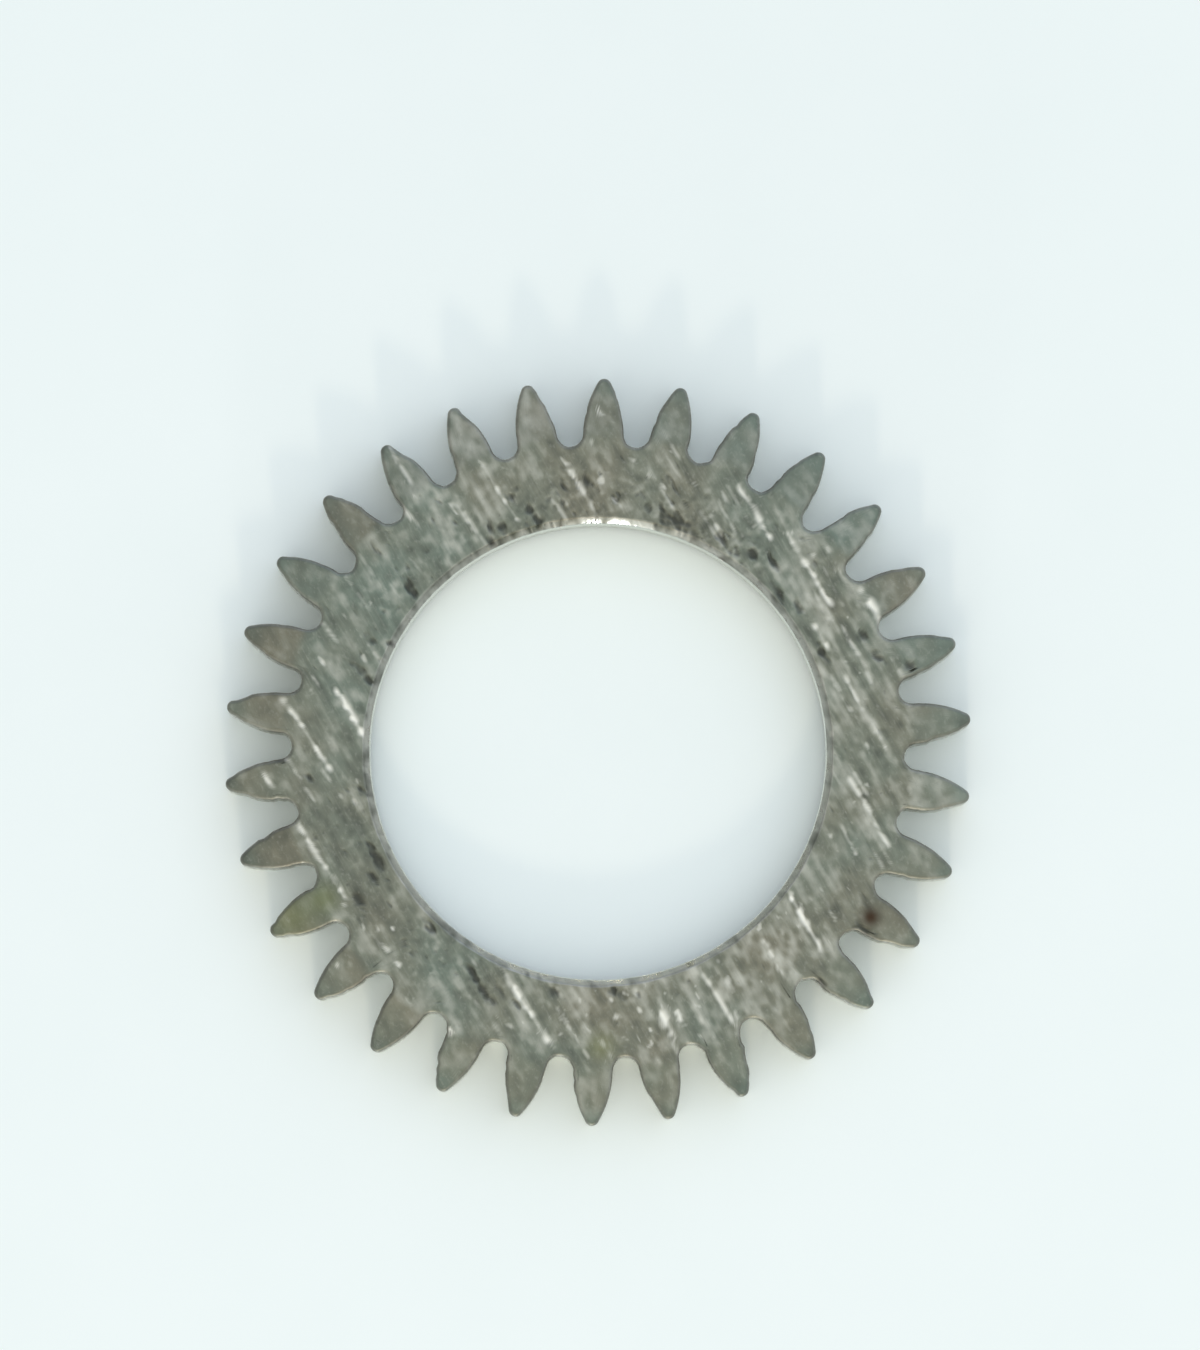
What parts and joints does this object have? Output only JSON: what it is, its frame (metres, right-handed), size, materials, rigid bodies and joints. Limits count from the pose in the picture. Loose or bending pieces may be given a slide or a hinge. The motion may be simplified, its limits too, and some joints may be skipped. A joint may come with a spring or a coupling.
{
  "type": "crown wheel",
  "caption": "Flat steel ring with pointed, round-tipped teeth round its rim and a wide plain bore; passes a watch's winding motion from the stem's pinion to the mainspring's wheel.",
  "frame": {"origin": "middle of the bore at the underside, on which the wheel lies", "axes": "+Z along the bore axis, out of the face that the picture shows; +Y through the middle of one tooth"},
  "size_m": [0.005, 0.005, 0.0005],
  "materials": {
    "worn_steel": "lapped one way, worn and scratched, slightly tarnished"
  },
  "bodies": {
    "root": {"crown_wheel": "worn_steel"}
  },
  "joints": []
}
